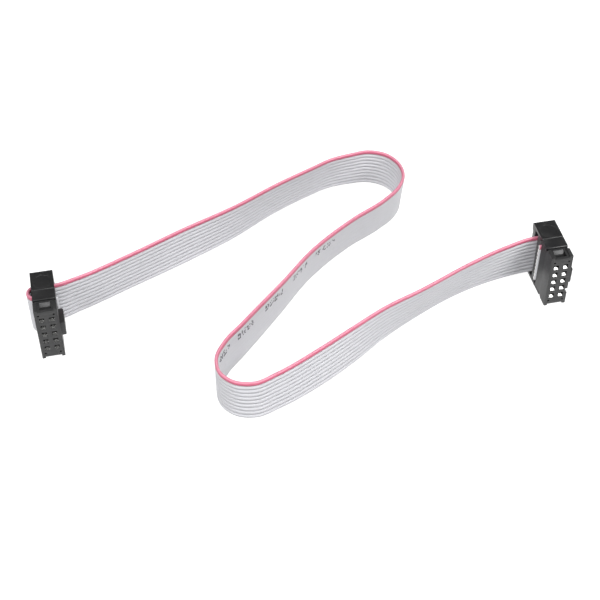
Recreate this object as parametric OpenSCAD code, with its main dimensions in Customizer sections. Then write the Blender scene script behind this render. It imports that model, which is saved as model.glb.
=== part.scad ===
// Ten-way flat ribbon cable with a ten-position insulation-displacement socket on each end.
// Millimetres, +Z up. Both sockets stand on their short ends and mate towards -Y.
// The origin lies on the resting surface, midway between the two sockets.

/* [Ribbon] */
// Distance from one wire of the ribbon to the next
wire_pitch = 1.27; // [1.2:0.01:1.35]
// Thickness of the ribbon over its wires
ribbon_t = 0.9; // [0.8:0.05:1.1]
// Bevel that leaves the groove between two neighbouring wires
wire_bevel = 0.2; // [0.1:0.05:0.3]
// How far the ribbon bulges past a cover's side where it folds back
fold_bulge = 1.55; // [1.4:0.05:2]
// How far the ribbon's cut end stands out of the socket's side
cut_proud = 0.4; // [0:0.05:0.6]

/* [Layout] */
// Distance between the two sockets along X
plug_spacing = 133.4; // [130:0.1:137]
// How much nearer the right socket stands along Y
plug_offset = 9.1; // [7:0.1:11]
// Distance of the mating faces in front of the origin, on average
mating_y = 7.15; // [6:0.05:8]

/* [Socket body] */
// Width of the body across its two columns of holes
body_w = 5.9; // [5.8:0.05:6.4]
// Depth of the body from its mating face to the ribbon
body_h = 7.55; // [7.2:0.05:9]
// Plastic in front of the contact chambers
front_wall = 0.5; // [0.45:0.05:0.7]
// Width of a hole's mouth at the mating face
mouth_w = 1.4; // [1.2:0.05:1.4]
// Height of a hole's mouth at the mating face
mouth_h = 1.6; // [1.4:0.05:1.7]
// Bevel round the rim of a mouth
lead_in = 0.05; // [0.03:0.01:0.12]
// Width of a contact chamber
chamber_w = 1.4; // [1.3:0.05:1.5]
// Height of a contact chamber
chamber_h = 1.9; // [1.8:0.05:2]
// Thickness of the two side walls where they run past the ends
rail_t = 0.85; // [0.6:0.05:1]
// Plastic between the mating face and the latch window
ledge_t = 0.95; // [0.7:0.05:1.1]
// Thickness of the wall over a cover leg
end_wall_t = 0.55; // [0.4:0.05:0.8]
// Step up from the strain relief's seat to the ledge
ledge_step = 0.35; // [0.2:0.05:0.6]
// Side of the small square pockets in the corners of the mating face
pocket_w = 0.5; // [0.3:0.05:0.6]

/* [Key] */
// Length of the polarising key along the socket
key_len = 4.5; // [3.5:0.1:5]
// Height of the polarising key above the side wall
key_proud = 1.25; // [0.8:0.05:1.5]
// Distance from the mating face to the key
key_front = 1.3; // [0.8:0.1:2]
// Depth of the key towards the ribbon
key_depth = 5.1; // [4:0.1:5.4]
// Height of the notch below the key
notch_h = 1.5; // [0.8:0.1:1.8]
// Depth of that notch into the wall
notch_in = 0.65; // [0.3:0.05:0.75]

/* [Cover] */
// Thickness of the cover between the two layers of ribbon
cover_t = 2.6; // [2.2:0.05:3]
// Thickness of a cover leg
cover_leg_t = 0.7; // [0.5:0.05:0.9]
// Width of a cover leg
cover_leg_w = 3.4; // [3.1:0.05:3.6]
// Width of the barb on a cover leg
barb_w = 2.8; // [2:0.05:2.9]
// Length of the barb along the leg
barb_len = 1; // [0.8:0.05:1.2]
// Height of the barb above the leg
barb_h = 0.95; // [0.7:0.05:1.1]

/* [Strain relief] */
// Width of the strain relief
relief_w = 5.9; // [5.4:0.05:6]
// Thickness of its bar
relief_bar_t = 2.3; // [1.6:0.05:2.6]
// How far the bar's back is sunk between its two end lugs
relief_sunk = 0.55; // [0.2:0.05:0.8]
// Thickness of its two legs
relief_leg_t = 0.85; // [0.6:0.05:1.1]
// Height of the pad that presses on the ribbon
pad_t = 0.55; // [0.3:0.05:0.8]
// Rounding of the two outer corners
relief_r = 0.5; // [0.2:0.05:0.8]

/* [Contacts] */
// Thickness of the contact metal
metal_t = 0.22; // [0.18:0.02:0.26]
// Width of the two spring beams
beam_w = 0.9; // [0.7:0.05:1]
// Gap between the beams where they grip a pin
grip_gap = 0.4; // [0.3:0.05:0.5]
// Width of the slot that grips the wire's core
fork_slot = 0.3; // [0.2:0.02:0.36]
// Width of the fork that pierces the ribbon
fork_w = 1; // [0.8:0.02:1.1]
// Gap between the lips of the beams behind the rim of a mouth
lip_gap = 1.3; // [1.1:0.05:1.4]

/* [Fit] */
// Clearance between two parts that clip together
fit_gap = 0.05; // [0.03:0.01:0.08]

/* [Hidden] */
$fn = 48;
wires = 10;
rows = wires / 2;
cut = 0.5;
ribbon_w = wires * wire_pitch;
row_pitch = 2 * wire_pitch;

// Depths behind the mating face, along +Y
cover_y = body_h + ribbon_t;
upper_layer_y = cover_y + cover_t;
pad_y = upper_layer_y + ribbon_t;
bar_y = pad_y + pad_t;
plug_depth = bar_y + relief_bar_t;
lower_mid = body_h + ribbon_t / 2;
upper_mid = upper_layer_y + ribbon_t / 2;

// Heights above and below the middle of a socket, along Z
leg_in = ribbon_w / 2 + fit_gap;
leg_out = leg_in + cover_leg_t;
seat_z = leg_out + fit_gap + end_wall_t;
ledge_z = seat_z + ledge_step;
relief_in = seat_z + fit_gap;
half_len = relief_in + relief_leg_t;
plug_len = 2 * half_len;

// The latch between cover and body, and the strain relief's tip
latch_gap = 1.65;
barb_y = ledge_t + latch_gap;
window_end = barb_y + barb_len + 3 * fit_gap;
window_w = barb_w + 4 * fit_gap;
pocket_end_y = ledge_t + 0.2;
notch_drop = 0.95;
notch_depth = 2.2;
tip_y = window_end + 0.45;
rail_top_y = window_end - 0.7;
hook_t = ribbon_t - 4 * fit_gap;
hook_h = 0.45;
hook_w = 3.2;
step_y = body_h + 0.25;
step_t = 0.1;

// The lip and the crest of a beam, and the fork with the strip that carries it
lip_y = 0.1;
crest_y = 0.75;
fork_y = body_h - 1.2;
fork_tip_y = cover_y + 0.95;
beam_root_y = fork_y - 0.1;
fork_x = -(beam_w - metal_t) / 2;

left_at = [-plug_spacing / 2 - key_proud / 2, plug_offset / 2 - mating_y, half_len];
right_at = [plug_spacing / 2 - key_proud / 2, -plug_offset / 2 - mating_y, half_len];

// The ribbon's free run: x and y of its middle, height of its lower edge and lean in degrees
edge_z = half_len - ribbon_w / 2;
exit_x = body_w / 2;
left_exit = [left_at.x + exit_x, left_at.y + upper_mid, edge_z, 0];
right_exit = [right_at.x - exit_x, right_at.y + upper_mid, edge_z, 0];
// The points are for sockets this far apart, and follow them when they stand elsewhere
route_spacing = 133.4;
route_offset = 9.1;
function followed(p) = let (along = p.x / route_spacing)
    [along * plug_spacing, p.y + along * (route_offset - plug_offset), p.z, p[3]];
route_points = [
    [-59, 10.5, 2.2, -2], [-44, 17, 1.8, -3], [-29, 24, 1.4, -1], [-14, 31, 1.1, -5],
    [0.5, 39.5, 0.7, -10], [11, 44.5, 0.5, -11], [17, 47, 0.4, -10], [23.5, 48, 0.3, -8],
    [29, 48, 0.2, -5], [33.5, 45.5, 0.1, -2], [36, 40.5, 0.1, 1], [35.5, 35, 0.1, 5],
    [33, 31, 0.1, 7], [28, 27, 0.1, 9], [17.5, 21, 0.2, 10], [4, 11, 0.2, 8],
    [-7, -0.5, 0.2, 5], [-15, -8.5, 0.1, 2], [-19.5, -13, 0.1, 1], [-24.5, -18, 0.1, 0],
    [-27.5, -23, 0.1, 0], [-27.5, -28, 0.1, 0], [-24.5, -32, 0.1, 1], [-19.5, -33.5, 0.2, 2],
    [-14, -32, 0.4, 3], [-2, -26.5, 0.5, 5], [8, -21, 0.7, 3], [17.5, -15.5, 1, -3],
    [27.5, -11, 1.4, -10], [43, -4.5, 1.8, -10], [53.5, -1.5, 2, -5]
];
route = concat([left_exit], [for (p = route_points) followed(p)], [right_exit]);

left_contacts = [for (i = [1 : wires]) str("left_contact_", i)];
right_contacts = [for (i = [1 : wires]) str("right_contact_", i)];

socket_black = [0.2, 0.2, 0.21];
cover_black = [0.14, 0.14, 0.15];
relief_black = [0.17, 0.17, 0.18];
tin_silver = [0.82, 0.82, 0.84];
ribbon_grey = [0.82, 0.82, 0.84];
mark_red = [0.93, 0.42, 0.54];

// Repeats a shape at both ends of a socket
module both_ends() {
    for (m = [0, 1]) mirror([0, 0, m]) children();
}

// Extrudes an outline drawn in depth and height across the socket's width
module across(width, outline) {
    rotate([90, 0, 90]) translate([0, 0, -width / 2]) linear_extrude(width) polygon(outline);
}

// A block centred on the socket's width
module block(width, y0, y1, z0, z1) {
    translate([-width / 2, y0, z0]) cube([width, y1 - y0, z1 - z0]);
}

// Column, row height and fork height of contact i, counted down from the marked wire
function column_x(i) = (i % 2 == 1 ? -1 : 1) * row_pitch / 2;
function row_z(i) = ((rows - 1) / 2 - floor((i - 1) / 2)) * row_pitch;
function fork_z(i) = (i % 2 == 1 ? 1 : -1) * wire_pitch / 2;

// A square mouth with a bevelled rim, cut from the front face
module mouth() {
    function flare(size) = [
        [-cut, size / 2 + cut], [lead_in, size / 2 - lead_in],
        [front_wall + cut, size / 2 - lead_in], [front_wall + cut, lead_in - size / 2],
        [lead_in, lead_in - size / 2], [-cut, -size / 2 - cut]
    ];
    intersection() {
        across(mouth_w + 2 * cut, flare(mouth_h));
        translate([0, 0, -mouth_h]) linear_extrude(2 * mouth_h)
            polygon([for (p = flare(mouth_w)) [p.y, p.x]]);
    }
}

// The room for one contact: mouth, chamber and the slot for the root of its fork
module contact_room(i) {
    translate([column_x(i), 0, row_z(i)]) {
        mouth();
        block(chamber_w, front_wall, body_h + cut, -chamber_h / 2, chamber_h / 2);
        translate([fork_x, 0, fork_z(i)])
            block(metal_t + 2 * fit_gap, fork_y - fit_gap, body_h + cut,
                -fork_w / 2 - fit_gap, fork_w / 2 + fit_gap);
    }
}
module socket_body() {
    rail_x = (body_w - rail_t) / 2;
    difference() {
        union() {
            block(body_w, 0, body_h, -seat_z, seat_z);
            block(body_w - rail_t, 0, tip_y - fit_gap, -ledge_z, ledge_z);
            // side walls that run past the ends as feet
            for (side = [-1, 1]) translate([side * rail_x, 0, 0]) both_ends()
                across(rail_t, [[0, 0], [0, half_len], [rail_top_y, half_len],
                    [tip_y - fit_gap, seat_z], [tip_y - fit_gap, 0]]);
            // polarising key, bevelled along its top
            translate([body_w / 2, key_front, -key_len / 2]) linear_extrude(key_len)
                polygon([[-cut, 0], [key_proud - 0.2, 0], [key_proud, 0.2],
                    [key_proud, key_depth - 0.4], [key_proud - 0.4, key_depth], [-cut, key_depth]]);
        }
        for (i = [1 : wires]) contact_room(i);
        both_ends() {
            // pocket for the cover's leg, and the window that its barb snaps into
            block(cover_leg_w + 2 * fit_gap, pocket_end_y, body_h + cut, leg_in - fit_gap, leg_out + fit_gap);
            block(window_w, ledge_t, window_end, leg_in - fit_gap, half_len);
            // square pockets in the corners of the mating face
            for (side = [-1, 1]) translate([side * (cover_leg_w + pocket_w) / 2, 0, 0])
                block(pocket_w, -cut, ledge_t / 2, leg_out - pocket_w, leg_out);
        }
        // notch in the edge of the keyed wall, square above and sloping below
        translate([body_w / 2, -cut, -key_len / 2 - notch_drop]) rotate([-90, 0, 0])
            linear_extrude(notch_depth + cut)
                polygon([[cut, 0], [-notch_in, 0], [-notch_in, notch_h - notch_in], [cut, notch_h + cut]]);
    }
}

cover_corner = 0.4;
leg_root = 0.2;
module cover() {
    corner = cover_corner;
    half_w = body_w / 2 - fit_gap;
    y1 = upper_layer_y;
    difference() {
        union() {
            translate([0, 0, -seat_z]) linear_extrude(2 * seat_z)
                polygon([[corner - half_w, cover_y], [half_w - corner, cover_y],
                    [half_w, cover_y + corner], [half_w, y1 - corner], [half_w - corner, y1],
                    [corner - half_w, y1], [-half_w, y1 - corner], [-half_w, cover_y + corner]]);
            both_ends() {
                // leg, and at its end the barb that slopes up to its catch face
                block(cover_leg_w, barb_y, cover_y + cut, leg_in, leg_out);
                across(barb_w, [[barb_y, leg_out - leg_root], [barb_y, leg_out + barb_h * 0.25],
                    [barb_y + barb_len * 0.75, leg_out + barb_h], [barb_y + barb_len, leg_out + barb_h],
                    [barb_y + barb_len, leg_out - leg_root]]);
            }
        }
        // slots that take the tips of the forks
        for (i = [1 : wires]) translate([column_x(i) + fork_x, 0, row_z(i) + fork_z(i)])
            block(metal_t + 2 * fit_gap, cover_y - cut, fork_tip_y + fit_gap,
                -fork_w / 2 - fit_gap, fork_w / 2 + fit_gap);
        // the corners above and below the ribbon are cut back beside the strain relief's hooks
        both_ends() for (side = [-1, 1]) translate([side * half_w, 0, 0])
            block(2 * corner, cover_y - cut, cover_y + corner, leg_out, seat_z + cut);
    }
}

relief_inner_r = 0.4;
tip_bevel = 0.15;
lug_h = 2;
pad_inset = 0.6;
ejector_r = 2.3;
gate_r = 0.6;
module strain_relief() {
    // round corner about (y, z), drawn as points on a quarter circle
    function corner(y, z, r, a0) = [for (k = [0 : 6]) [y + r * cos(a0 - 15 * k), z + r * sin(a0 - 15 * k)]];
    face = half_len;
    step_z = face - step_t;
    r = relief_r;
    difference() {
        union() {
            both_ends() across(relief_w, concat(
                [[bar_y, -fit_gap], [bar_y, relief_in - relief_inner_r], [bar_y - relief_inner_r, relief_in],
                    [tip_y, relief_in], [tip_y, step_z - tip_bevel], [tip_y + tip_bevel, step_z],
                    [step_y, step_z], [step_y + step_t, face]],
                corner(plug_depth - r, face - r, r, 90),
                [[plug_depth, face - lug_h], [plug_depth - relief_sunk, face - lug_h - relief_sunk],
                    [plug_depth - relief_sunk, -fit_gap]]
            ));
            // pad that presses the ribbon on the cover
            block(relief_w - 2 * pad_inset, pad_y, bar_y + cut, -ribbon_w / 2, ribbon_w / 2);
            // hooks that catch the front edge of the cover
            both_ends() across(hook_w, [[cover_y - fit_gap, relief_in + fit_gap],
                [cover_y - fit_gap, relief_in - hook_h], [cover_y - fit_gap - hook_t * 0.5, relief_in - hook_h],
                [cover_y - fit_gap - hook_t, relief_in], [cover_y - fit_gap - hook_t, relief_in + fit_gap]]);
        }
        // ejector mark and gate mark on each leg
        both_ends() {
            translate([0, plug_depth - ejector_r - 1.8, face - 0.06]) cylinder(h = cut, r = ejector_r);
            translate([gate_r, plug_depth - 2 * gate_r, face - 0.12]) cylinder(h = cut, r = gate_r);
        }
    }
}

// Stamped contact: two spring beams in front, a slotted fork behind
module contact(i) {
    beam_z = chamber_h / 2 - fit_gap - metal_t / 2;
    grip_z = (grip_gap + metal_t) / 2;
    lip_z = lip_gap / 2;
    // inner and outer side of a beam, from its root to its lip in the mouth
    beam = [[beam_root_y, beam_z + metal_t / 2], [body_h * 0.62, beam_z + metal_t / 2],
        [crest_y + 0.3, grip_z + metal_t / 2 + 0.05], [crest_y, grip_z + metal_t / 2 + 0.05], [lip_y, lip_z],
        [lip_y, lip_z - 0.1], [crest_y - metal_t, grip_z - metal_t / 2], [crest_y + 0.3, grip_z - metal_t / 2],
        [body_h * 0.62, beam_z - metal_t / 2], [beam_root_y, beam_z - metal_t / 2]];
    fork_mid = fork_z(i);
    prong = (fork_w - fork_slot) / 2;
    slot_y = body_h - 0.45;
    point_y = fork_tip_y - 0.35;
    translate([column_x(i), 0, row_z(i)]) {
        both_ends() across(beam_w, beam);
        // strip that joins the beams and steps across to the fork
        translate([fork_x, 0, 0]) {
            across(metal_t, [[body_h * 0.55, -beam_z - metal_t / 2], [body_h * 0.55, beam_z + metal_t / 2],
                [beam_root_y, beam_z + metal_t / 2], [beam_root_y, -beam_z - metal_t / 2]]);
            across(metal_t, [[beam_root_y, -0.3], [beam_root_y, 0.3],
                [fork_y + 0.3, fork_mid + fork_w / 2], [point_y, fork_mid + fork_w / 2],
                [fork_tip_y, fork_mid + fork_w / 2 - prong / 2], [point_y, fork_mid + fork_slot / 2],
                [slot_y, fork_mid + fork_slot / 2], [slot_y, fork_mid - fork_slot / 2],
                [point_y, fork_mid - fork_slot / 2], [fork_tip_y, fork_mid - fork_w / 2 + prong / 2],
                [point_y, fork_mid - fork_w / 2], [fork_y + 0.3, fork_mid - fork_w / 2]]);
        }
    }
}

// Smooth curve through the route's points
function run(a, b) = norm([b.x - a.x, b.y - a.y]);
function slope_at(i) = i == 0 || i == len(route) - 1 ? [1, 0, 0, 0] :
    let (a = run(route[i - 1], route[i]), b = run(route[i], route[i + 1]))
    ((route[i] - route[i - 1]) * b / a + (route[i + 1] - route[i]) * a / b) / (a + b);
function blend(p, q, m, n, t) = (2 * t * t * t - 3 * t * t + 1) * p + (t * t * t - 2 * t * t + t) * m
    + (3 * t * t - 2 * t * t * t) * q + (t * t * t - t * t) * n;
function blend_slope(p, q, m, n, t) = (6 * t * t - 6 * t) * (p - q) + (3 * t * t - 4 * t + 1) * m
    + (3 * t * t - 2 * t) * n;
// A station of the ribbon is [x, y, height of the lower edge, lean, direction of travel]
function station(p, d) = [p.x, p.y, p.z, p[3], atan2(d.y, d.x)];
rings_each = 2;
free_run = [for (i = [0 : len(route) - 2], k = [0 : rings_each - 1])
    let (p = route[i], q = route[i + 1], length = run(p, q),
        m = slope_at(i) * length, n = slope_at(i + 1) * length, t = k / rings_each)
    station(blend(p, q, m, n, t), blend_slope(p, q, m, n, t))];

// The fold round a cover: half an ellipse, then straight to a flush cut end
fold_inset = 0.3;
fold_start = body_w / 2 - fold_inset;
fold_a = fold_bulge + fold_inset - ribbon_t / 2;
fold_b = (upper_mid - lower_mid) / 2;
fold_y = (upper_mid + lower_mid) / 2;
fold = [for (k = [0 : 6]) [fold_start + fold_a * sin(30 * k), fold_y + fold_b * cos(30 * k)]];
left_fold = concat(
    [[left_at.x + body_w / 2, left_at.y + lower_mid, edge_z, 0, 180]],
    [for (k = [6 : -1 : 0]) [left_at.x - fold[k].x, left_at.y + fold[k].y, edge_z, 0,
        atan2(fold_b * sin(30 * k), fold_a * cos(30 * k))]]
);
right_fold = concat(
    [station(right_exit, [1, 0])],
    [for (k = [0 : 6]) [right_at.x + fold[k].x, right_at.y + fold[k].y, edge_z, 0,
        atan2(-fold_b * sin(30 * k), fold_a * cos(30 * k))]],
    [[right_at.x - body_w / 2, right_at.y + lower_mid, edge_z, 0, 180]]
);
stations = concat(left_fold, free_run, right_fold);

// Section of the ribbon between two heights, with bevelled edges
function section(h0, h1) = let (c = wire_bevel, t = ribbon_t / 2)
    [[h0, c - t], [h0 + c, -t], [h1 - c, -t], [h1, c - t], [h1, t - c], [h1 - c, t], [h0 + c, t], [h0, t - c]];
// A point h above the lower edge and k off the middle plane, at station s
function ribbon_point(s, h, k) = let (side = [-sin(s[4]), cos(s[4])], up = h - ribbon_w / 2,
        out = up * sin(s[3]) + k * cos(s[3]))
    [s.x + side.x * out, s.y + side.y * out,
        s.z + ribbon_w / 2 * cos(s[3]) + up * cos(s[3]) - k * sin(s[3])];

module ribbon(h0, h1) {
    outline = section(h0, h1);
    n = len(outline);
    last = len(stations) - 1;
    polyhedron(
        points = [for (s = stations, p = outline) ribbon_point(s, p[0], p[1])],
        faces = concat(
            [[for (j = [0 : n - 1]) j]],
            [[for (j = [n - 1 : -1 : 0]) last * n + j]],
            [for (r = [0 : last - 1], j = [0 : n - 1]) each
                let (a = r * n + j, b = a + n, c = (r + 1) * n + (j + 1) % n, d = c - n)
                j < n / 2 ? [[a, b, c], [a, c, d]] : [[a, b, d], [b, c, d]]]
        ),
        convexity = 10
    );
}

module left_socket_body() { color(socket_black) translate(left_at) socket_body(); }
module left_cover() { color(cover_black) translate(left_at) cover(); }
module left_strain_relief() { color(relief_black) translate(left_at) strain_relief(); }
module left_contact(i) { color(tin_silver) translate(left_at) contact(i); }
module right_socket_body() { color(socket_black) translate(right_at) socket_body(); }
module right_cover() { color(cover_black) translate(right_at) cover(); }
module right_strain_relief() { color(relief_black) translate(right_at) strain_relief(); }
module right_contact(i) { color(tin_silver) translate(right_at) contact(i); }
module ribbon_web() { color(ribbon_grey) ribbon(0, ribbon_w - wire_pitch); }
module marked_wire() { color(mark_red) ribbon(ribbon_w - wire_pitch, ribbon_w); }

left_socket_body();
left_cover();
left_strain_relief();
for (i = [1 : wires]) left_contact(i);
right_socket_body();
right_cover();
right_strain_relief();
for (i = [1 : wires]) right_contact(i);
ribbon_web();
marked_wire();
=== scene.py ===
"""Ten-way ribbon cable with a ten-position socket on each end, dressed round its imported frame."""

import math

import bmesh
import bpy
import numpy as np
from mathutils import Matrix, Vector


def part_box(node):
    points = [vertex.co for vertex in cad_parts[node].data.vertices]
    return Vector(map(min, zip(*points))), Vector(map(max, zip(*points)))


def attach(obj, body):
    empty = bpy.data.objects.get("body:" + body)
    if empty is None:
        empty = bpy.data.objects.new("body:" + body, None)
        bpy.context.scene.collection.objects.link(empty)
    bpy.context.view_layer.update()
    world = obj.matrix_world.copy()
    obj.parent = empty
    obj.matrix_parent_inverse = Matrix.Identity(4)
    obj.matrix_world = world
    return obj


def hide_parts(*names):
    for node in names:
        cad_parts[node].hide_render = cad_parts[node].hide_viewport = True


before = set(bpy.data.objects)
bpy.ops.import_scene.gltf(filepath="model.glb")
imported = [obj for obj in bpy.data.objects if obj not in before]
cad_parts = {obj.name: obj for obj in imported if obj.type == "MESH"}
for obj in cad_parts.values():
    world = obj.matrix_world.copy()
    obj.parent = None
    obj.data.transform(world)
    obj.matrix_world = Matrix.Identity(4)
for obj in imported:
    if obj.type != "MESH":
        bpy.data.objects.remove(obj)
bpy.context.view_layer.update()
MM = 0.001

# Camera
# The photograph looks down at the cable at about 45 degrees, a little from its left, through a
# fairly long lens. The numbers come from fitting all twenty holes of the two sockets.
camera_at = Vector((-52.27, -241.38, 251.35)) * MM
camera_heading, camera_dip, camera_roll = 11.877, 45.03, -0.25
camera_lens, camera_sensor, camera_range = 78.74, 36, (0.01, 10)


def put_in_scene(name, data):
    """A new object of this mesh, lamp or camera."""
    thing = bpy.data.objects.new(name, data)
    bpy.context.scene.collection.objects.link(thing)
    return thing


camera = put_in_scene("camera", bpy.data.cameras.new("camera"))
camera.data.lens, camera.data.sensor_width = camera_lens, camera_sensor
camera.data.clip_start, camera.data.clip_end = camera_range
camera.matrix_world = (
    Matrix.Translation(camera_at)
    @ Matrix.Rotation(math.radians(-camera_heading), 4, "Z")
    @ Matrix.Rotation(math.radians(90 - camera_dip), 4, "X")
    @ Matrix.Rotation(math.radians(camera_roll), 4, "Z")
)
bpy.context.scene.camera = camera

# Ribbon
# Ten stranded wires lie side by side in one light-grey vinyl extrusion, ribbed over each wire,
# with deep grooves on one face and hardly any on the other. The first wire is marked red.
# Each end is pressed on its socket, turns round the cover and leaves behind it.
wires, wire_pitch = 10, 1.27
ribbon_t, ribbon_w = 0.9, wires * wire_pitch
# Radius of a rib's back, how far it falls to the groove, and each face's groove depth
rib_radius, rib_fall = 0.8, 0.29
groove_front, groove_back = 0.28, 0.075
# Reach of each fold past the socket's side, and how far inside the side the fold begins
left_bulge, right_bulge, fold_inset = 1.55, 1.15, 0.3
# The cut ends stand out at the socket's far side; the red wire lacks one station on the left
cut_proud, red_trimmed = 0.4, 1
# Stations between points of the route, degrees between those of a fold, and those of a tail
route_steps, fold_step, tail_steps = 12, 5, 8

# Middle of each socket's mating face, and the stack of body, ribbon and cover behind it
body_lo, body_hi = (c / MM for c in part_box("left_socket_body"))
relief_lo, relief_hi = (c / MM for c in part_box("left_strain_relief"))
cover_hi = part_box("left_cover")[1] / MM
right_relief_lo, right_relief_hi = (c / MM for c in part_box("right_strain_relief"))
right_body_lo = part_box("right_socket_body")[0] / MM
left_at = Vector(((relief_lo.x + relief_hi.x) / 2, body_lo.y, (relief_lo.z + relief_hi.z) / 2))
right_at = Vector(((right_relief_lo.x + right_relief_hi.x) / 2, right_body_lo.y, left_at.z))
body_w = 2 * (left_at.x - body_lo.x)
body_h = body_hi.y - body_lo.y
cover_back = cover_hi.y - body_lo.y
lower_mid = body_h + ribbon_t / 2
upper_mid = cover_back + ribbon_t / 2
edge_z = left_at.z - ribbon_w / 2

# From left to right, x and y of the ribbon's middle and the height of its lower edge, all in
# millimetres, and its lean in degrees
left_exit = [left_at.x + body_w / 2, left_at.y + upper_mid, edge_z, 0]
right_exit = [right_at.x - body_w / 2, right_at.y + upper_mid, edge_z, 0]
route = np.array([
    left_exit,
    [-59, 10.5, 2.2, -2], [-44, 17, 1.8, -3], [-29, 24, 1.4, -1], [-14, 31, 1.1, -5],
    [0.5, 39.5, 0.7, -10], [11, 44.5, 0.5, -11], [17, 47, 0.4, -10], [23.5, 48, 0.3, -8],
    [29, 48, 0.2, -5], [33.5, 45.5, 0.1, -2], [36, 40.5, 0.1, 1], [35.5, 35, 0.1, 5],
    [33, 31, 0.1, 7], [28, 27, 0.1, 9], [17.5, 21, 0.2, 10], [4, 11, 0.2, 8],
    [-7, -0.5, 0.2, 5], [-15, -8.5, 0.1, 2], [-19.5, -13, 0.1, 1], [-24.5, -18, 0.1, 0],
    [-27.5, -23, 0.1, 0], [-27.5, -28, 0.1, 0], [-24.5, -32, 0.1, 1], [-19.5, -33.5, 0.2, 2],
    [-14, -32, 0.4, 3], [-2, -26.5, 0.5, 5], [8, -21, 0.7, 3], [17.5, -15.5, 1, -3],
    [27.5, -11, 1.4, -10], [43, -4.5, 1.8, -10], [53.5, -1.5, 2, -5],
    right_exit,
])


def ribbon_stations():
    """Stations along the ribbon: x, y, lower edge, lean and direction, from cut end to cut end."""
    gaps = np.hypot(*np.diff(route[:, :2], axis=0).T)
    level = np.array([1.0, 0, 0, 0])
    slopes = [level]
    for i in range(1, len(route) - 1):
        a, b = gaps[i - 1], gaps[i]
        before, after = (route[i] - route[i - 1]) / a, (route[i + 1] - route[i]) / b
        slopes.append((before * b + after * a) / (a + b))
    slopes.append(level)
    run = []
    for i, gap in enumerate(gaps):
        p, q, m, n = route[i], route[i + 1], slopes[i] * gap, slopes[i + 1] * gap
        for t in np.arange(route_steps) / route_steps:
            at = (2 * t**3 - 3 * t**2 + 1) * p + (t**3 - 2 * t**2 + t) * m
            at = at + (3 * t**2 - 2 * t**3) * q + (t**3 - t**2) * n
            way = (6 * t**2 - 6 * t) * (p - q) + (3 * t**2 - 4 * t + 1) * m
            way = way + (3 * t**2 - 2 * t) * n
            run.append([*at, math.atan2(way[1], way[0])])
    run.append([*route[-1], 0])

    start = body_w / 2 - fold_inset
    along = (upper_mid - lower_mid) / 2
    cut_x = -body_w / 2 - cut_proud
    turns = []
    for bulge in (left_bulge, right_bulge):
        across, turn = bulge + fold_inset - ribbon_t / 2, []
        for a in np.radians(np.arange(0, 181, fold_step)):
            x, y = start + across * math.sin(a), (upper_mid + lower_mid) / 2 + along * math.cos(a)
            turn.append((x, y, math.atan2(along * math.sin(a), across * math.cos(a))))
        tail = np.linspace(start, cut_x, tail_steps)[1:]
        turn += [(x, lower_mid, math.pi) for x in tail]
        turns.append(turn)
    left = [[left_at.x - x, left_at.y + y, edge_z, 0, way] for x, y, way in turns[0][::-1]]
    right = [[right_at.x + x, right_at.y + y, edge_z, 0, -way] for x, y, way in turns[1]]
    return np.array(left + run + right), len(left)


stations, left_turn = ribbon_stations()
steps = np.hypot(*np.diff(stations[:, :2], axis=0).T)
lengths = np.concatenate([[0], np.cumsum(steps)])
lengths -= lengths[left_turn]


def on_ribbon(station, height, off):
    """The point, in metres, at a height above the lower edge and an offset from the middle."""
    x, y, low, lean, way = station
    lean, up = math.radians(lean), height - ribbon_w / 2
    out = up * math.sin(lean) + off * math.cos(lean)
    rise = low + ribbon_w / 2 * math.cos(lean) + up * math.cos(lean) - off * math.sin(lean)
    return Vector((x - math.sin(way) * out, y + math.cos(way) * out, rise)) * MM


def rib_profile(first, last):
    """Outline of wires first to last, as heights and offsets: up the grooved face, then down."""
    # Places across one rib, in shares of the pitch, closer together at the groove
    places = np.array([0, 0.035, 0.1, 0.2, 0.32, 0.44, 0.56, 0.68, 0.8, 0.9, 0.965])
    half, outer = wire_pitch / 2, ribbon_t / 2

    def bulge(wire, place, groove):
        x = (place - 0.5) * wire_pitch
        if (wire == 0 and x < 0) or (wire == wires - 1 and x > 0):
            return outer * math.sqrt(max(0, 1 - (x / half) ** 2))
        sunk = rib_radius - math.sqrt(rib_radius**2 - x * x)
        return outer - groove * min(1, sunk / rib_fall)

    heights = [(w, s) for w in range(first, last) for s in places] + [(last - 1, 1.0)]
    up = [((w + s) * wire_pitch, -bulge(w, s, groove_front)) for w, s in heights]
    down = [((w + s) * wire_pitch, bulge(w, s, groove_back)) for w, s in heights[::-1]]
    if first == 0:
        down.pop()
    if last == wires:
        down.pop(0)
    return up + down


def ribbon_piece(name, first, last, materials, trimmed=0):
    """One closed sweep of the wires first to last along the route, less its trimmed stations."""
    outline = rib_profile(first, last)
    run, along = stations[trimmed:], lengths[trimmed:]
    size = len(outline)
    points = [on_ribbon(s, h, k) for s in run for h, k in outline]
    faces = []
    for r in range(len(run) - 1):
        for j in range(size):
            a, b = r * size + j, r * size + (j + 1) % size
            faces.append((a, a + size, b + size, b))
    tail = (len(run) - 1) * size
    faces += [tuple(range(size)), tuple(range(tail + size - 1, tail - 1, -1))]
    mesh = bpy.data.meshes.new(name)
    mesh.from_pydata(points, [], faces)
    mesh.polygons.foreach_set("use_smooth", [True] * (len(faces) - 2) + [False] * 2)
    mesh.polygons.foreach_set("material_index", [0] * (len(faces) - 2) + [1] * 2)
    for field, values in (
        ("along", np.repeat(along, size)),
        ("height", np.tile([h for h, k in outline], len(run))),
        ("offset", np.tile([k for h, k in outline], len(run))),
    ):
        mesh.attributes.new(field, "FLOAT", "POINT").data.foreach_set("value", values)
    for material in materials:
        mesh.materials.append(material)
    mesh.validate()
    piece = put_in_scene(name, mesh)
    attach(piece, "root")
    return piece


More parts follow.
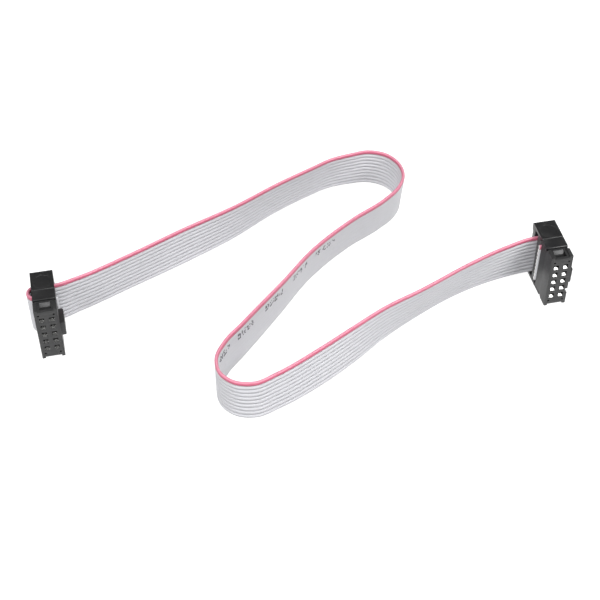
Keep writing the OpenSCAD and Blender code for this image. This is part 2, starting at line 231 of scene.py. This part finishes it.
class Flow:
    """A shader socket that can be added, multiplied and compared like a number."""

    def __init__(self, tree, socket=None):
        self.tree, self.socket = tree, socket

    def node(self, kind, settings=None, sockets=None, out=0):
        """Adds a node: its type, its settings first, then values or links of its sockets."""
        made = self.tree.nodes.new(kind)
        for name, value in (settings or {}).items():
            setattr(made, name, value)
        for name, value in (sockets or {}).items():
            if isinstance(value, Flow):
                self.tree.links.new(value.socket, made.inputs[name])
            else:
                made.inputs[name].default_value = value
        return Flow(self.tree, made.outputs[out] if made.outputs else None)

    def maths(self, operation, *values):
        """A Math node on these values."""
        return self.node("ShaderNodeMath", {"operation": operation}, dict(enumerate(values)))

    def __add__(self, other):
        return self.maths("ADD", self, other)

    __radd__ = __add__

    def __sub__(self, other):
        return self.maths("SUBTRACT", self, other)

    def __rsub__(self, other):
        return self.maths("SUBTRACT", other, self)

    def __mul__(self, other):
        return self.maths("MULTIPLY", self, other)

    __rmul__ = __mul__

    def __truediv__(self, other):
        return self.maths("DIVIDE", self, other)

    def __gt__(self, other):
        return self.maths("GREATER_THAN", self, other)

    def __lt__(self, other):
        return self.maths("LESS_THAN", self, other)

    def smooth(self, low, high):
        """0 below low, 1 above high, and a soft step between."""
        return self.node(
            "ShaderNodeMapRange",
            {"interpolation_type": "SMOOTHSTEP"},
            {"Value": self, "From Min": low, "From Max": high},
        )

    def mix(self, first, second):
        """From the first colour to the second, by this value."""
        share_in, first_in, second_in, colour_out = 0, 6, 7, 2
        return self.node(
            "ShaderNodeMix",
            {"data_type": "RGBA"},
            {share_in: self, first_in: first, second_in: second},
            out=colour_out,
        )


def new_material(name):
    """An empty material, with its flow to build on."""
    material = bpy.data.materials.new(name)
    material.use_nodes = True
    material.node_tree.nodes.clear()
    return material, Flow(material.node_tree)


def finish_material(material, flow, sockets):
    """Closes a material with one Principled shader."""
    shader = flow.node("ShaderNodeBsdfPrincipled", {}, sockets)
    flow.node("ShaderNodeOutputMaterial", {}, {"Surface": shader})
    return material


def grain(flow, scale, detail=3.0, stretch=(1, 1, 1), at=None):
    """Fine noise in the object's own space, with as many cells to a metre as scale."""
    place = at or flow.node("ShaderNodeTexCoord", out="Object")
    place = flow.node("ShaderNodeMapping", {}, {"Vector": place, "Scale": stretch})
    return flow.node(
        "ShaderNodeTexNoise", {}, {"Vector": place, "Scale": scale, "Detail": detail}
    )


def bump(flow, height, strength, depth):
    """The relief of this height map; its depth is in metres."""
    return flow.node(
        "ShaderNodeBump", {}, {"Strength": strength, "Distance": depth, "Height": height}
    )


def on_mesh(flow, *names):
    """Values that the mesh carries: along, height or offset, in millimetres."""
    return [flow.node("ShaderNodeAttribute", {"attribute_name": n}, out="Fac") for n in names]


# Stretches of printed marks along the middle run, in millimetres from the left socket
mark_groups = [(149.6, 158.0), (162.0, 169.3), (174.0, 182.6), (187.5, 194.4), (197.9, 204.1)]
# A cell holds one dot or none: its size, the rows, their top, the share of blank cells, and
# the columns from one gap to the next with the share of them that is printed
mark_cell, mark_rows, mark_top, mark_blank = 0.42, 5, 10.5, 0.53
mark_columns, mark_printed, mark_seed = 5, 0.79, 7.3
dot_full, dot_gone = 0.22, 0.34


def print_marks(flow):
    """A row of dotted marks without any lettering, on the smoother face under the red wire."""
    along, height, offset = on_mesh(flow, "along", "height", "offset")
    column, row = along / mark_cell, (height - (mark_top - mark_rows * mark_cell)) / mark_cell
    cell = flow.node(
        "ShaderNodeCombineXYZ", {},
        {0: flow.maths("FLOOR", column), 1: flow.maths("FLOOR", row), 2: mark_seed},
    )
    chance = flow.node("ShaderNodeTexWhiteNoise", {"noise_dimensions": "3D"}, {"Vector": cell})
    u, v = flow.maths("FRACT", column) - 0.5, flow.maths("FRACT", row) - 0.5
    dot = 1 - (u * u + v * v).smooth(dot_full, dot_gone)
    group = flow.maths("FRACT", column / mark_columns) < mark_printed
    band = (row > 0) * (row < mark_rows)
    stretch = sum((along > a) * (along < b) for a, b in mark_groups)
    return dot * (chance > mark_blank) * group * band * stretch * (offset > 0)


def groove_shade(flow):
    """Mask of painted shade: 0 on the upper part of each rib, 1 in the groove under it, on the
    grooved face only.
    """
    height, offset = on_mesh(flow, "height", "offset")
    place = flow.maths("FRACT", height / wire_pitch)
    # The painted shade fades up to the middle of the rib, and starts again under the next groove
    low, high = 1 - place.smooth(0.1, 0.5), place.smooth(0.86, 1.0)
    return (low + high) * (offset < 0.02)


def drawn_lines(flow, scale, stretch):
    """Faint lines along the ribbon, as it leaves the die, from a much stretched noise."""
    along, height, offset = on_mesh(flow, "along", "height", "offset")
    place = flow.node("ShaderNodeCombineXYZ", {}, {0: along * stretch, 1: height, 2: offset})
    return grain(flow, scale, 4.0, at=place)


def satin_skin(flow, lines):
    """The relief of drawn vinyl: its lines and a fine grain over them."""
    return bump(flow, lines + grain(flow, 2600.0) * 0.5, 0.25, 0.00004)


def jacket_vinyl():
    """Light-grey satin vinyl with faint drawing lines along it, painted shade in its grooves, and
    the printed marks.
    """
    dark, light = (0.61, 0.61, 0.645, 1), (0.7, 0.7, 0.725, 1)
    # The darker grey is painted shade for the grooves; the near black is the printed ink
    painted_groove_shade_grey, ink_black = (0.3, 0.3, 0.325, 1), (0.02, 0.02, 0.03, 1)
    material, flow = new_material("jacket_vinyl")
    lines = drawn_lines(flow, 9.0, 0.04)
    cloud = grain(flow, 120.0, 2.0)
    tone = (lines * 0.5 + cloud * 0.5).mix(dark, light)
    # Painted shade: the grooves and the lower flank of each rib are darkened in the colour
    tone = (groove_shade(flow) * 0.5).mix(tone, painted_groove_shade_grey)
    ink = print_marks(flow)
    return finish_material(material, flow, {
        "Base Color": (ink * 0.96).mix(tone, ink_black),
        "Roughness": 0.34 + cloud * 0.16 + ink * 0.15,
        "Normal": satin_skin(flow, lines),
    })


def marked_vinyl():
    """The first wire: pink-red ink on the same vinyl, with a painted highlight of lighter pink on
    its top edge and painted shade of deeper red at its foot.
    """
    dark, light = (0.57, 0.105, 0.18, 1), (0.64, 0.145, 0.235, 1)
    # A lighter pink for the painted highlight on the top edge, and a deeper red for the painted
    # shade at the foot
    painted_highlight_pink, painted_shade_red = (0.75, 0.33, 0.43, 1), (0.33, 0.06, 0.1, 1)
    material, flow = new_material("marked_vinyl")
    lines = drawn_lines(flow, 6.0, 0.05)
    height, = on_mesh(flow, "height")
    foot = ribbon_w - wire_pitch
    # Painted highlight along the top edge, and painted shade at the foot beside the groove
    top = height.smooth(ribbon_w - 0.45, ribbon_w - 0.02)
    low = 1 - height.smooth(foot + 0.03, foot + 0.4)
    tone = (top * 0.65).mix(lines.mix(dark, light), painted_highlight_pink)
    return finish_material(material, flow, {
        "Base Color": (low * 0.7).mix(tone, painted_shade_red),
        "Roughness": 0.33 + lines * 0.12,
        "Normal": satin_skin(flow, lines),
    })


def cut_vinyl_painted_light():
    """The sheared end of the jacket: matte, slightly smeared, paler than the jacket as painted
    light, and darker between its wires as painted shade.
    """
    # The pale greys are painted light on the cut face, far paler than the same vinyl on the jacket;
    # the dark grey is painted shade between the wires
    dark, light, painted_between_shade_grey = (0.82, 0.82, 0.83, 1), (0.93, 0.93, 0.93, 1), (0.3, 0.3, 0.32, 1)
    material, flow = new_material("cut_vinyl_painted_light")
    smear = grain(flow, 2200.0, 4.0, (1, 1, 0.3))
    height, = on_mesh(flow, "height")
    place = flow.maths("FRACT", height / wire_pitch)
    between = 1 - (place * (1 - place)).smooth(0.04, 0.15)
    return finish_material(material, flow, {
        # Painted shade darkens the cut face between the wires
        "Base Color": (between * 0.5).mix(smear.mix(dark, light), painted_between_shade_grey),
        "Roughness": 0.6 + smear * 0.2,
        "Normal": bump(flow, smear, 0.4, 0.00005),
    })


jacket, marked, sheared = jacket_vinyl(), marked_vinyl(), cut_vinyl_painted_light()
web = ribbon_piece("ribbon_jacket", 0, wires - 1, [jacket, sheared])
wire = ribbon_piece("red_wire", wires - 1, wires, [marked, sheared], red_trimmed)
for piece, node, finish, first, last in (
    (web, "ribbon_web", "ribbon_grey", 0, wires - 1),
    (wire, "marked_wire", "ribbon_red", wires - 1, wires),
):
    middle = (first + last) / 2 * wire_pitch
    path = [on_ribbon(s, middle, 0) for s in stations]
    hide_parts(node)
    (last - first) * wire_pitch * MM

# Cut ends of the strands
# Every wire is seven tinned copper strands. They show at the two sheared ends of the ribbon,
# beside the sockets, level with the vinyl but for a few hundredths that the shear leaves.
strand_r, strand_sides = 0.0635, 10
# How far a strand reaches into the vinyl and out of it, and its rounded end: where the
# rounding starts and how much of the width is left
strand_in, strand_out = 0.3, 0.04
end_starts, end_left = 0.6, 0.8


def tinned_metal(name, tone, roughness):
    """Bright tin with fine rolling lines and duller patches."""
    material, flow = new_material(name)
    rolled = grain(flow, 900.0, 4.0, (1, 0.12, 1))
    patches = grain(flow, 1500.0, 2.0)
    dull = tuple(0.86 * c for c in tone)
    return finish_material(material, flow, {
        "Base Color": patches.mix((*dull, 1), (*tone, 1)),
        "Metallic": 1.0,
        "Roughness": roughness + patches * 0.1,
        "Normal": bump(flow, rolled, 0.12, 0.00002),
    })


tinned_copper = tinned_metal("tinned_copper", (0.8, 0.77, 0.72), 0.3)


def skin(mesh, rings):
    """Closes rings of points with faces from each to the next, and one on either end."""
    count = len(rings[0])
    for low, high in zip(rings, rings[1:]):
        for j in range(count):
            k = (j + 1) % count
            mesh.faces.new((low[j], low[k], high[k], high[j]))
    mesh.faces.new(rings[0][::-1])
    mesh.faces.new(rings[-1])


def strand_ends(name, ends, way):
    """Seven round strand ends for each wire, standing out of the cut face at its station."""
    mesh = bmesh.new()
    ring = [(0, 0)] + [(2 * math.cos(a), 2 * math.sin(a)) for a in np.radians(range(0, 360, 60))]
    inward, outward = Vector((way, 0, 0)) * -strand_in * MM, Vector((way, 0, 0)) * strand_out * MM
    for w in range(wires):
        for u, v in ring:
            middle = (w + 0.5) * wire_pitch + u * strand_r
            centre = on_ribbon(ends[w], middle, v * strand_r)
            loops = []
            for shift, size in ((inward, 1), (outward * end_starts, 1), (outward, end_left)):
                loops.append([
                    mesh.verts.new(centre + shift + Vector((
                        0, strand_r * size * math.cos(a) * MM, strand_r * size * math.sin(a) * MM
                    )))
                    for a in np.arange(strand_sides) * 2 * math.pi / strand_sides
                ])
            skin(mesh, loops)
    bmesh.ops.recalc_face_normals(mesh, faces=mesh.faces)
    data = bpy.data.meshes.new(name)
    mesh.to_mesh(data)
    mesh.free()
    data.materials.append(tinned_copper)
    piece = put_in_scene(name, data)
    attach(piece, "root")


strand_ends("left_strand_ends", [stations[0]] * (wires - 1) + [stations[red_trimmed]], 1)
strand_ends("right_strand_ends", [stations[-1]] * wires, -1)

# Socket bodies
# Moulded in black glass-filled polyester: ten funnel mouths in front of the contact chambers, a
# polarising key on one side, latch windows in both ends, and side walls that run on as feet.
body_edge = 0.09
# Metres within which corners are one, degrees within which faces are flat together, and the
# least angle of an edge that is rounded
corner_weld, face_join, crease = 0.000002, 1, 28


def black_plastic(name, base, roughness, texture, sunk=0.0):
    """Spark-eroded black plastic, duller in broad patches, and sunk in some where asked."""
    material, flow = new_material(name)
    fine = grain(flow, texture, 3.0)
    broad = grain(flow, 260.0, 3.0)
    uneven = grain(flow, 420.0, 1.0)
    dark, light = ((*(share * c for c in base), 1) for share in (0.75, 1.25))
    return finish_material(material, flow, {
        "Base Color": broad.mix(dark, light),
        "Roughness": roughness + broad * 0.14,
        "IOR": 1.55,
        "Normal": bump(flow, fine + uneven * sunk, 0.35, 0.00003),
    })


def moulding(side, name, part, edge, material):
    """One of the two equal sockets' parts: its solid with flat faces joined and edges rounded."""
    solid = bmesh.new()
    solid.from_mesh(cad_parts[f"left_{part}"].data)
    if side == "right":
        bmesh.ops.translate(solid, verts=solid.verts, vec=(right_at - left_at) * MM)
    bmesh.ops.remove_doubles(solid, verts=solid.verts, dist=corner_weld)
    bmesh.ops.dissolve_limit(
        solid, angle_limit=math.radians(face_join), verts=solid.verts, edges=solid.edges
    )
    mesh = bpy.data.meshes.new(f"{side}_{name}")
    solid.to_mesh(mesh)
    solid.free()
    mesh.materials.clear()
    mesh.materials.append(material)
    mesh.polygons.foreach_set("use_smooth", [True] * len(mesh.polygons))
    piece = put_in_scene(mesh.name, mesh)
    rounding = piece.modifiers.new("rounding", "BEVEL")
    rounding.width = edge * MM
    rounding.segments = 2
    rounding.limit_method = "ANGLE"
    rounding.angle_limit = math.radians(crease)
    rounding.miter_outer = "MITER_ARC"
    rounding.harden_normals = True
    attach(piece, "root")
    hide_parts(f"{side}_{part}")


socket_black = black_plastic("socket_black", (0.019, 0.019, 0.0195), 0.4, 9000.0)
for side in ("left", "right"):
    moulding(side, "body_moulding", "socket_body", body_edge, socket_black)

# Contacts
# Stamped from thin copper alloy and tinned. Two spring leaves curl round the pin behind each
# mouth, and a forked blade behind them pierces the ribbon and grips one wire.
leaf_t, leaf_half, strip_t = 0.2, 0.45, 0.22
# Depth behind the mating face, distance from the pin's middle, half width and crown
leaf_line = (
    (6.25, 0.79, 0.45, 0.0), (5.4, 0.79, 0.45, 0.0), (4.6, 0.775, 0.45, 0.0),
    (3.6, 0.67, 0.43, 0.01), (2.7, 0.53, 0.4, 0.02), (1.9, 0.39, 0.38, 0.03),
    (1.35, 0.36, 0.36, 0.04), (1.0, 0.335, 0.38, 0.04), (0.74, 0.325, 0.44, 0.04),
    (0.63, 0.34, 0.5, 0.04), (0.54, 0.385, 0.56, 0.03), (0.4, 0.5, 0.61, 0.03),
    (0.26, 0.62, 0.63, 0.03), (0.19, 0.685, 0.62, 0.02), (0.14, 0.73, 0.58, 0.02),
)
# Places across a leaf, in shares of its half width, and its thickness at the two edges
leaf_across, leaf_thinned = (-1, -0.86, -0.6, -0.3, 0, 0.3, 0.6, 0.86, 1), 0.72
# The strip that joins the leaves, and the fork on it: depths behind the mating face first,
# then half widths, and how far from the contact's middle the two stand
strip_front, strip_back, strip_half = body_h * 0.55, leaf_line[0][0], leaf_line[0][1] + leaf_t / 2
fork_foot, fork_tip, slot_end = body_h - 0.9, body_h + ribbon_t + 0.95, body_h - 0.45
fork_point = fork_tip - 0.35
neck_half, fork_half, slot_half = 0.3, 0.5, 0.15
fork_x = -(2 * leaf_half - strip_t) / 2
blade_eased, leaf_crease = 0.03, 40


def spring_leaf(mesh, centre, way):
    """One leaf: flat at its root, crowned towards the pin where it grips, curled at its lip."""
    rings = []
    for k, (y, z, half, crown) in enumerate(leaf_line):
        before, after = leaf_line[max(0, k - 1)], leaf_line[min(len(leaf_line) - 1, k + 1)]
        run, rise = after[0] - before[0], after[1] - before[1]
        size = math.hypot(run, rise)
        ring = []
        for face in (-1, 1):
            for u in leaf_across[::face]:
                inner = z - (crown * (1 - u * u) - crown * 0.5)
                away = face * leaf_t / 2 * (leaf_thinned if abs(u) == 1 else 1)
                ring.append(mesh.verts.new(centre + Vector((
                    u * half, y - away * rise / size, way * (inner - away * run / size)
                )) * MM))
        rings.append(ring)
    skin(mesh, rings)


def blade(mesh, centre, outline):
    """A flat stamping of the strip, drawn in depth and height, with slightly eased edges."""
    middle = np.mean(outline, axis=0)
    side, flat = strip_t / 2, strip_t / 2 - blade_eased
    loops = []
    for x, shrink in ((-side, blade_eased), (-flat, 0), (flat, 0), (side, blade_eased)):
        loop = []
        for y, z in outline:
            way = np.array([y, z]) - middle
            y, z = np.array([y, z]) - way / np.hypot(*way) * shrink
            loop.append(mesh.verts.new(centre + Vector((fork_x + x, y, z)) * MM))
        loops.append(loop)
    skin(mesh, loops)


def contact(side, i, at, metal):
    """Contact i, counted down from the marked wire: two leaves, their strip and the fork."""
    column = (-1 if i % 2 else 1) * wire_pitch
    row = ((wires / 2 - 1) / 2 - (i - 1) // 2) * 2 * wire_pitch
    centre = (at + Vector((column, 0, row))) * MM
    fork_z = (1 if i % 2 else -1) * wire_pitch / 2
    mesh = bmesh.new()
    for way in (1, -1):
        spring_leaf(mesh, centre, way)
    blade(mesh, centre, [
        (strip_front, -strip_half), (strip_front, strip_half),
        (strip_back, strip_half), (strip_back, -strip_half),
    ])
    prong = fork_half - slot_half
    blade(mesh, centre, [
        (strip_back, -neck_half), (strip_back, neck_half),
        (fork_foot, fork_z + fork_half), (fork_point, fork_z + fork_half),
        (fork_tip, fork_z + fork_half - prong / 2), (fork_point, fork_z + slot_half),
        (slot_end, fork_z + slot_half), (slot_end, fork_z - slot_half),
        (fork_point, fork_z - slot_half), (fork_tip, fork_z - fork_half + prong / 2),
        (fork_point, fork_z - fork_half), (fork_foot, fork_z - fork_half),
    ])
    bmesh.ops.recalc_face_normals(mesh, faces=mesh.faces)
    data = bpy.data.meshes.new(f"{side}_leaf_{i}")
    mesh.to_mesh(data)
    mesh.free()
    data.polygons.foreach_set("use_smooth", [True] * len(data.polygons))
    data.set_sharp_from_angle(angle=math.radians(leaf_crease))
    data.materials.append(metal)
    piece = put_in_scene(data.name, data)
    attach(piece, "root")
    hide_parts(f"{side}_contact_{i}")


tin = tinned_metal("tin_plate", (0.52, 0.52, 0.51), 0.19)
for side, at in (("left", left_at), ("right", right_at)):
    for i in range(1, wires + 1):
        contact(side, i, at, tin)

# Covers
# A black block pressed on the ribbon drives it on the forks. Its two legs run down into the
# body, and the barb on each snaps into a latch window.
cover_edge = 0.09
# The cover's black is its own colour made paler than the body's: painted light for the lit barbs in
# the latch windows
cover_black = black_plastic("cover_black", (0.06, 0.06, 0.061), 0.4, 8000.0)
for side in ("left", "right"):
    moulding(side, "cover_block", "cover", cover_edge, cover_black)

# Strain reliefs
# A black clip holds the folded ribbon on the cover. Its legs run down over the socket's ends,
# with an ejector mark and the stub of its gate on each.
relief_edge = 0.12
relief_black = black_plastic("relief_black", (0.011, 0.011, 0.0115), 0.3, 8000.0, sunk=14.0)
for side in ("left", "right"):
    moulding(side, "relief_clip", "strain_relief", relief_edge, relief_black)

# Studio
# A white table under a dim sky, with two soft boxes in front of it and one above. The table
# is white to the camera and in reflections, the sky to the camera, and its foot glows dimly in
# reflections. The object's shadow stays on the table.
floor_half, floor_drop = 1.6, 0.00005
table_grey, table_glow = (0.36, 0.36, 0.36, 1), 0.9
sky_light, foot_glow, foot_top, glow_top = 0.1, 0.5, 0.3, 0.55
lamp_distance = 1.1
floor_mesh = bpy.data.meshes.new("table_top")
floor_mesh.from_pydata(
    [(x, y, -floor_drop) for x, y in (
        (-floor_half, -floor_half), (floor_half, -floor_half),
        (floor_half, floor_half), (-floor_half, floor_half),
    )],
    [], [(0, 1, 2, 3)],
)
floor = put_in_scene("table_top", floor_mesh)


def seen_directly(flow):
    """1 for rays from the camera, from a gloss or through glass, and 0 for the rest."""
    camera_ray, gloss_ray, glass_ray = (
        flow.node("ShaderNodeLightPath", out=f"Is {kind} Ray")
        for kind in ("Camera", "Glossy", "Transmission")
    )
    return flow.maths("MAXIMUM", camera_ray, flow.maths("MAXIMUM", gloss_ray, glass_ray))


floor_white, flow = new_material("table_white")
lit = flow.node("ShaderNodeBsdfDiffuse", {}, {"Color": table_grey})
glow = flow.node(
    "ShaderNodeEmission", {},
    {"Color": (1, 1, 1, 1), "Strength": seen_directly(flow) * table_glow},
)
both = flow.node("ShaderNodeAddShader", {}, {0: lit, 1: glow})
flow.node("ShaderNodeOutputMaterial", {}, {"Surface": both})
floor_mesh.materials.append(floor_white)

world = bpy.data.worlds.new("studio")
bpy.context.scene.world = world
world.use_nodes = True
world.node_tree.nodes.clear()
flow = Flow(world.node_tree)
ray = flow.node("ShaderNodeTexCoord", out="Generated")
high = flow.node("ShaderNodeSeparateXYZ", {}, {0: ray}, out="Z")
camera_ray = flow.node("ShaderNodeLightPath", out="Is Camera Ray")
horizon = 1 - high.smooth(foot_top, glow_top)
sky = sky_light + horizon * seen_directly(flow) * foot_glow
strength = flow.maths("MAXIMUM", sky, camera_ray)
back = flow.node("ShaderNodeBackground", {}, {"Color": (1, 1, 1, 1), "Strength": strength})
flow.node("ShaderNodeOutputWorld", {}, {"Surface": back})


def soft_box(name, azimuth, elevation, size, power):
    """A square area lamp that faces the object; azimuth 0 is in front, 90 on the right."""
    a, e = math.radians(azimuth), math.radians(elevation)
    toward = Vector((math.sin(a) * math.cos(e), -math.cos(a) * math.cos(e), math.sin(e)))
    lamp = bpy.data.lights.new(name, "AREA")
    lamp.shape, lamp.size, lamp.energy = "SQUARE", size, power
    box = put_in_scene(name, lamp)
    box.location = toward * lamp_distance
    box.rotation_mode = "QUATERNION"
    box.rotation_quaternion = toward.to_track_quat("Z", "Y")


soft_box("key_box", 45, 43, 0.62, 9.2)
soft_box("fill_box", -62, 36, 0.6, 7.6)
soft_box("top_box", 10, 82, 0.5, 5.8)

bpy.context.scene.view_settings.view_transform = "Standard"
